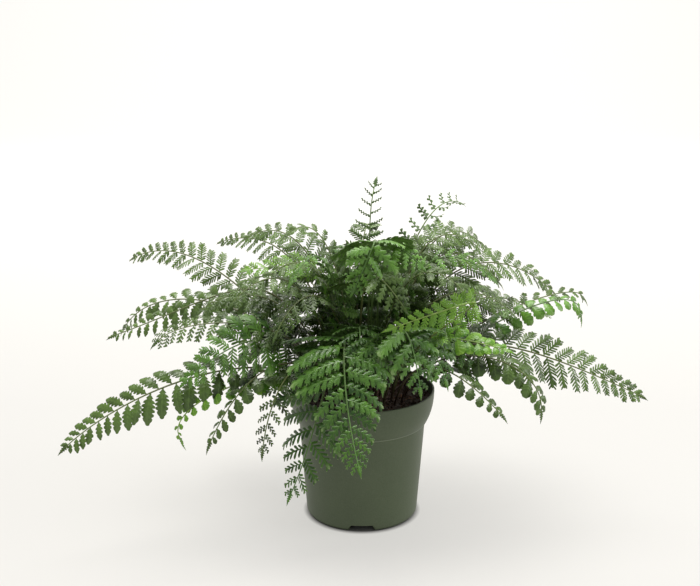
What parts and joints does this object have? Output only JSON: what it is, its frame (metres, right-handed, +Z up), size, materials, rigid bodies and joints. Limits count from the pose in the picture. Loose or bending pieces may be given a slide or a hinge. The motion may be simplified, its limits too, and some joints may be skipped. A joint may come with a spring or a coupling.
{
  "type": "potted fern",
  "caption": "Dense, arching, finely divided fern that grows from soil in a round tapered nursery pot with a tall rim band.",
  "frame": {"origin": "centre of the pot's foot, on the surface that the pot stands on", "axes": "+Z up along the pot's axis, +X along the plant's widest spread, -Y towards the front with the drain notch and the big drooping front frond"},
  "size_m": [0.4551, 0.2684, 0.2816],
  "materials": {
    "pot_plastic": "fine matt moulded grain, grey-green",
    "potting_soil": "moist crumbly peat, very dark brown",
    "mature_leaf": "leathery and glossy, dark green",
    "young_leaf": "soft satin, bright yellow-green",
    "unfurling_leaf": "satin, pale olive green"
  },
  "bodies": {
    "root": {"pot": "pot_plastic", "soil": "potting_soil", "frond_left_long": "mature_leaf", "frond_right_long": "mature_leaf", "frond_front_middle": "mature_leaf", "frond_left_upper_fine": "mature_leaf", "frond_left_top_fine": "mature_leaf", "frond_left_middle": "mature_leaf", "frond_left_middle_back": "mature_leaf", "frond_left_short": "mature_leaf", "frond_left_bright": "young_leaf", "frond_top_unfurling": "unfurling_leaf", "frond_top_right_open": "unfurling_leaf", "frond_top_front": "mature_leaf", "frond_top_front_right": "mature_leaf", "frond_inner_front_right": "mature_leaf", "frond_right_top_fine": "mature_leaf", "frond_right_curled": "mature_leaf", "frond_right_curled_back": "mature_leaf", "frond_right_bright_fine": "young_leaf", "frond_right_bright_lobed": "young_leaf", "frond_right_low_dark": "mature_leaf", "frond_right_low_hook": "mature_leaf", "frond_left_low_light": "young_leaf", "frond_left_low_dark": "mature_leaf", "frond_front_left_hanging": "mature_leaf", "frond_front_left_dark": "mature_leaf", "frond_front_right_hanging": "mature_leaf", "frond_inner_front_left": "mature_leaf", "frond_inner_left_front": "mature_leaf", "frond_back_top": "mature_leaf", "frond_back_right_top": "mature_leaf", "frond_back_left": "mature_leaf", "frond_back_right": "mature_leaf", "frond_back_right_fine": "mature_leaf", "frond_back_left_fine": "mature_leaf", "frond_back_low": "mature_leaf", "frond_back_left_low": "mature_leaf", "frond_back_right_low": "mature_leaf", "frond_inner_back": "mature_leaf", "frond_inner_back_right": "mature_leaf", "frond_low_front_left": "mature_leaf", "frond_low_front": "mature_leaf", "frond_low_front_right": "mature_leaf", "frond_left_inner": "mature_leaf", "frond_right_upper_fine": "mature_leaf", "frond_right_upper_front": "mature_leaf", "frond_left_upper_inner": "mature_leaf", "frond_left_upper_front": "mature_leaf", "frond_top_left": "mature_leaf", "frond_top_back": "mature_leaf", "frond_right_inner": "mature_leaf", "frond_right_low_inner": "mature_leaf", "frond_left_low_inner": "mature_leaf", "frond_inner_right": "mature_leaf", "frond_inner_left": "mature_leaf", "frond_top_right": "mature_leaf", "frond_back_inner_low": "mature_leaf", "frond_front_inner": "mature_leaf", "frond_right_dome": "mature_leaf"}
  },
  "joints": []
}
